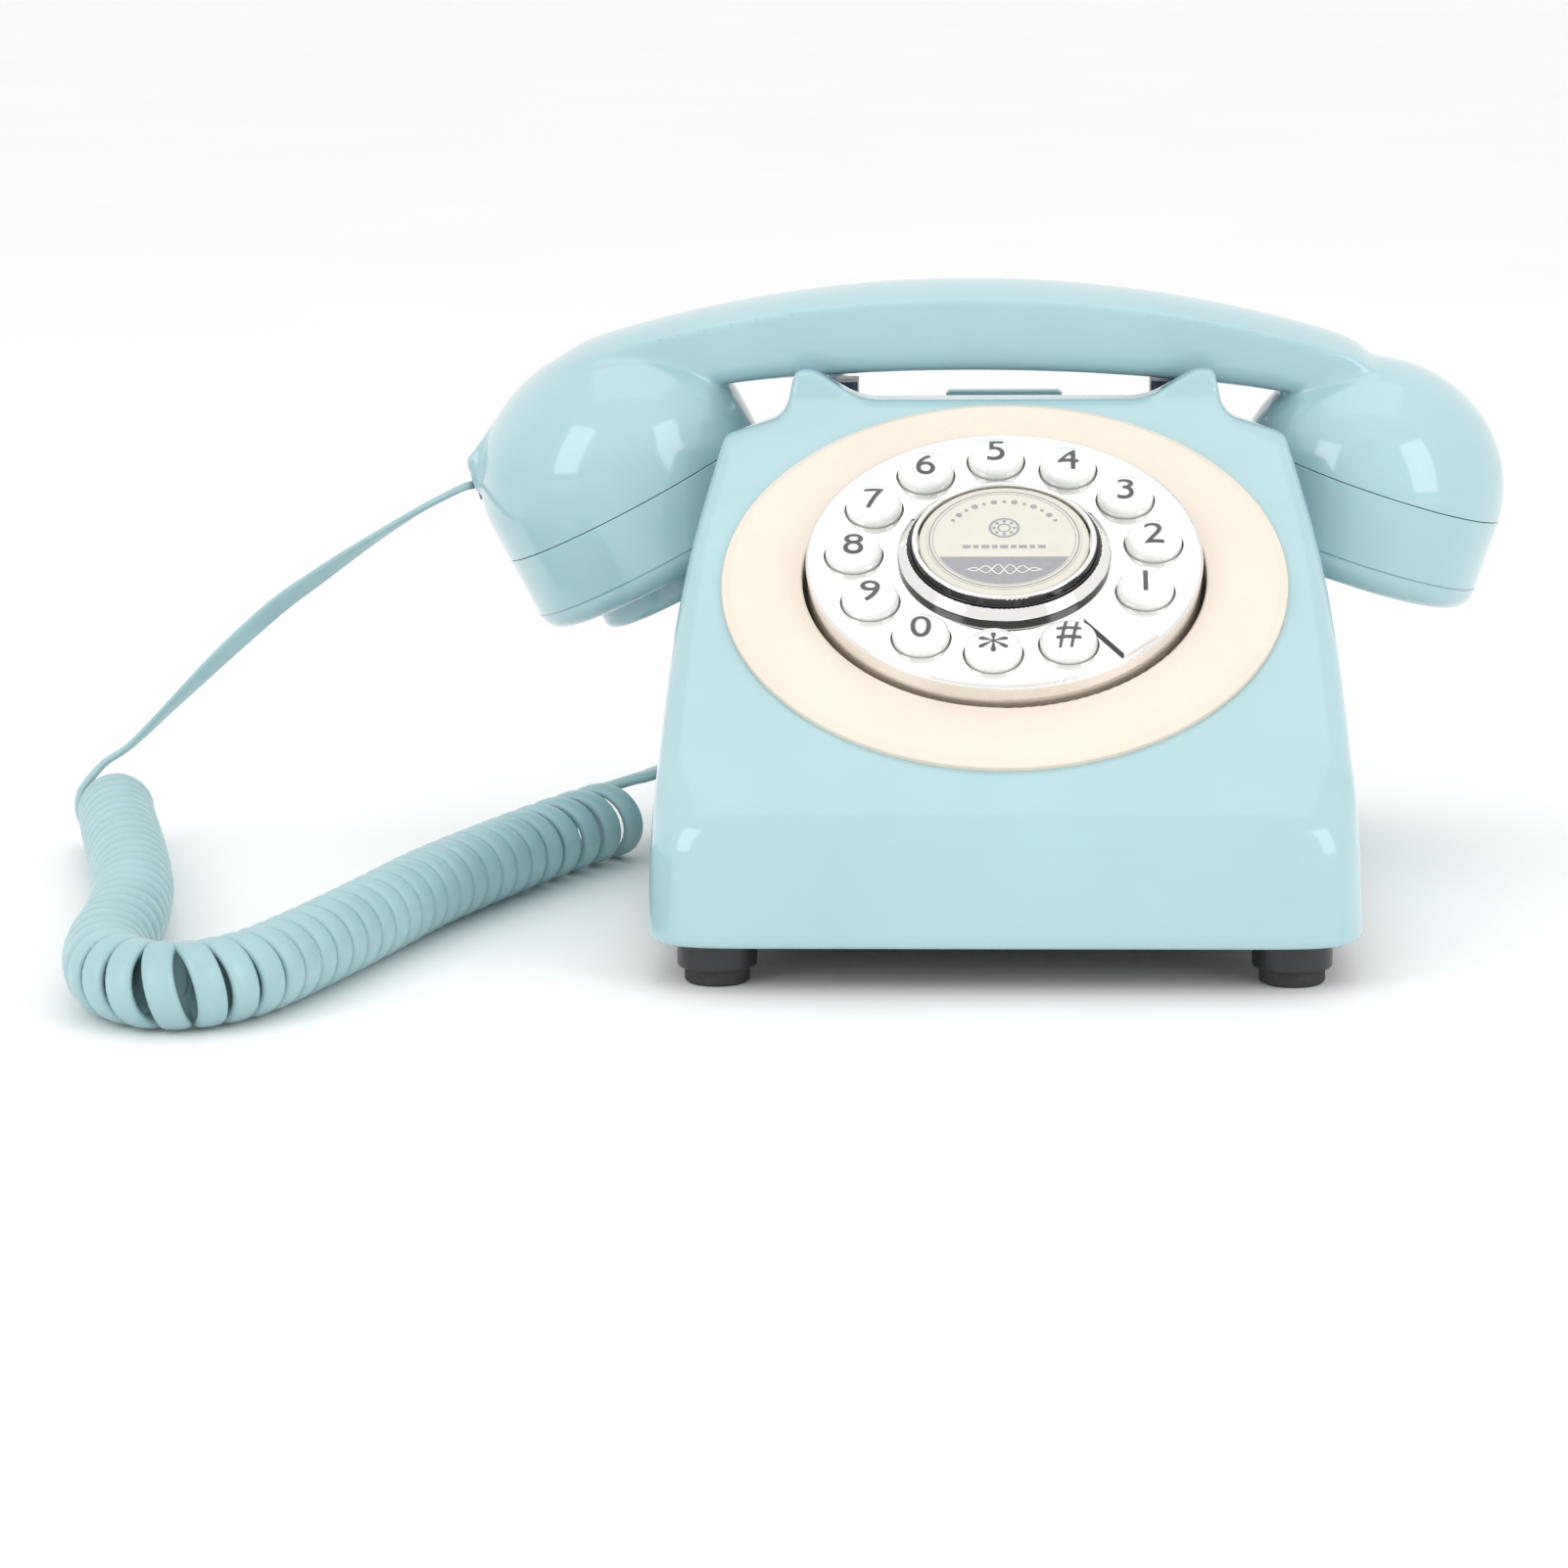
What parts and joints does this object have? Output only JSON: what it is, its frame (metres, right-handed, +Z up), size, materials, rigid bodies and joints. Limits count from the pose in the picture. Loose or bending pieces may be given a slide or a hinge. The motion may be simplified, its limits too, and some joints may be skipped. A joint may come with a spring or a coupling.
{
  "type": "push-button desk telephone",
  "caption": "Vintage-style desk telephone with a sloped case, round chrome keypad with round keys, cradle, lift-off handset and curly cord.",
  "frame": {"origin": "on the table, under the centre of the box around the case and the handset, cord left out", "axes": "+X to the phone's right seen from the front, +Y to its back, +Z up"},
  "size_m": [0.315, 0.2205, 0.1253],
  "materials": {
    "case_plastic": "moulded gloss, light turquoise",
    "handset_plastic": "moulded gloss, light turquoise",
    "cream_plastic": "moulded satin cream",
    "chrome": "bright chrome plating",
    "label": "printed card",
    "key_plastic": "milky gloss with printed digits",
    "mat_rubber": "moulded silicone",
    "board": "circuit board",
    "battery_wrap": "shrink film",
    "steel_plate": "zinc plated sheet",
    "steel": "plated",
    "base_plastic": "fine texture",
    "foot_plastic": "satin black",
    "foot_rubber": "moulded rubber",
    "hook_plastic": "moulded dark blue grey",
    "black_plastic": "moulded",
    "capsule": "moulded housing",
    "clear_plastic": "clear moulded",
    "cord": "soft glossy jacket"
  },
  "bodies": {
    "base": {"case_shell": "case_plastic", "base_plate": "base_plastic", "base_screws": "steel", "foot_caps": "foot_plastic", "foot_pads": "foot_rubber", "dial_ring": "cream_plastic", "dial_disc": "chrome", "hub_ring": "chrome", "hub_cap": "cream_plastic", "hub_label": "label", "finger_stop": "chrome", "keypad_mat": "mat_rubber", "keypad_board": "board", "main_board": "board", "battery": "battery_wrap", "ballast": "steel_plate", "usb_socket": "steel", "hook_springs": "steel", "hook_switch": "black_plastic", "base_jack": "black_plastic", "plug_base": "clear_plastic", "cord_tail": "cord", "cord_coil": "cord", "cord_lead": "cord"},
    "handset": {"handset_shell": "handset_plastic", "mouthpiece_cap": "handset_plastic", "mouth_disc": "handset_plastic", "earpiece_cap": "handset_plastic", "microphone": "capsule", "earphone": "capsule", "handset_jack": "black_plastic", "plug_handset": "clear_plastic"},
    "hook": {"hook_yoke": "hook_plastic"},
    "key_1": {"key_1": "key_plastic"},
    "key_2": {"key_2": "key_plastic"},
    "key_3": {"key_3": "key_plastic"},
    "key_4": {"key_4": "key_plastic"},
    "key_5": {"key_5": "key_plastic"},
    "key_6": {"key_6": "key_plastic"},
    "key_7": {"key_7": "key_plastic"},
    "key_8": {"key_8": "key_plastic"},
    "key_9": {"key_9": "key_plastic"},
    "key_0": {"key_0": "key_plastic"},
    "key_star": {"key_star": "key_plastic"},
    "key_hash": {"key_hash": "key_plastic"}
  },
  "joints": [
    {"name": "handset_lift", "type": "slide", "parent": "base", "child": "handset", "axis": [0, 0, 1], "range_m": [0, 0.12]},
    {"name": "hook_rise", "type": "slide", "parent": "base", "child": "hook", "axis": [0, 0, 1], "range_m": [0, 0.004], "stiffness_N_per_m": 150, "springref_m": 0.008, "deforming": ["hook_springs"]},
    {"name": "key_1_press", "type": "slide", "parent": "base", "child": "key_1", "axis": [0, 0.5075, -0.8616], "range_m": [0, 0.0015], "stiffness_N_per_m": 400, "springref_m": -0.001},
    {"name": "key_2_press", "type": "slide", "parent": "base", "child": "key_2", "axis": [0, 0.5075, -0.8616], "range_m": [0, 0.0015], "stiffness_N_per_m": 400, "springref_m": -0.001},
    {"name": "key_3_press", "type": "slide", "parent": "base", "child": "key_3", "axis": [0, 0.5075, -0.8616], "range_m": [0, 0.0015], "stiffness_N_per_m": 400, "springref_m": -0.001},
    {"name": "key_4_press", "type": "slide", "parent": "base", "child": "key_4", "axis": [0, 0.5075, -0.8616], "range_m": [0, 0.0015], "stiffness_N_per_m": 400, "springref_m": -0.001},
    {"name": "key_5_press", "type": "slide", "parent": "base", "child": "key_5", "axis": [0, 0.5075, -0.8616], "range_m": [0, 0.0015], "stiffness_N_per_m": 400, "springref_m": -0.001},
    {"name": "key_6_press", "type": "slide", "parent": "base", "child": "key_6", "axis": [0, 0.5075, -0.8616], "range_m": [0, 0.0015], "stiffness_N_per_m": 400, "springref_m": -0.001},
    {"name": "key_7_press", "type": "slide", "parent": "base", "child": "key_7", "axis": [0, 0.5075, -0.8616], "range_m": [0, 0.0015], "stiffness_N_per_m": 400, "springref_m": -0.001},
    {"name": "key_8_press", "type": "slide", "parent": "base", "child": "key_8", "axis": [0, 0.5075, -0.8616], "range_m": [0, 0.0015], "stiffness_N_per_m": 400, "springref_m": -0.001},
    {"name": "key_9_press", "type": "slide", "parent": "base", "child": "key_9", "axis": [0, 0.5075, -0.8616], "range_m": [0, 0.0015], "stiffness_N_per_m": 400, "springref_m": -0.001},
    {"name": "key_0_press", "type": "slide", "parent": "base", "child": "key_0", "axis": [0, 0.5075, -0.8616], "range_m": [0, 0.0015], "stiffness_N_per_m": 400, "springref_m": -0.001},
    {"name": "key_star_press", "type": "slide", "parent": "base", "child": "key_star", "axis": [0, 0.5075, -0.8616], "range_m": [0, 0.0015], "stiffness_N_per_m": 400, "springref_m": -0.001},
    {"name": "key_hash_press", "type": "slide", "parent": "base", "child": "key_hash", "axis": [0, 0.5075, -0.8616], "range_m": [0, 0.0015], "stiffness_N_per_m": 400, "springref_m": -0.001}
  ],
  "couplings": [
    {"joint": "hook_rise", "follows": "handset_lift", "ratio": 0.033333}
  ]
}
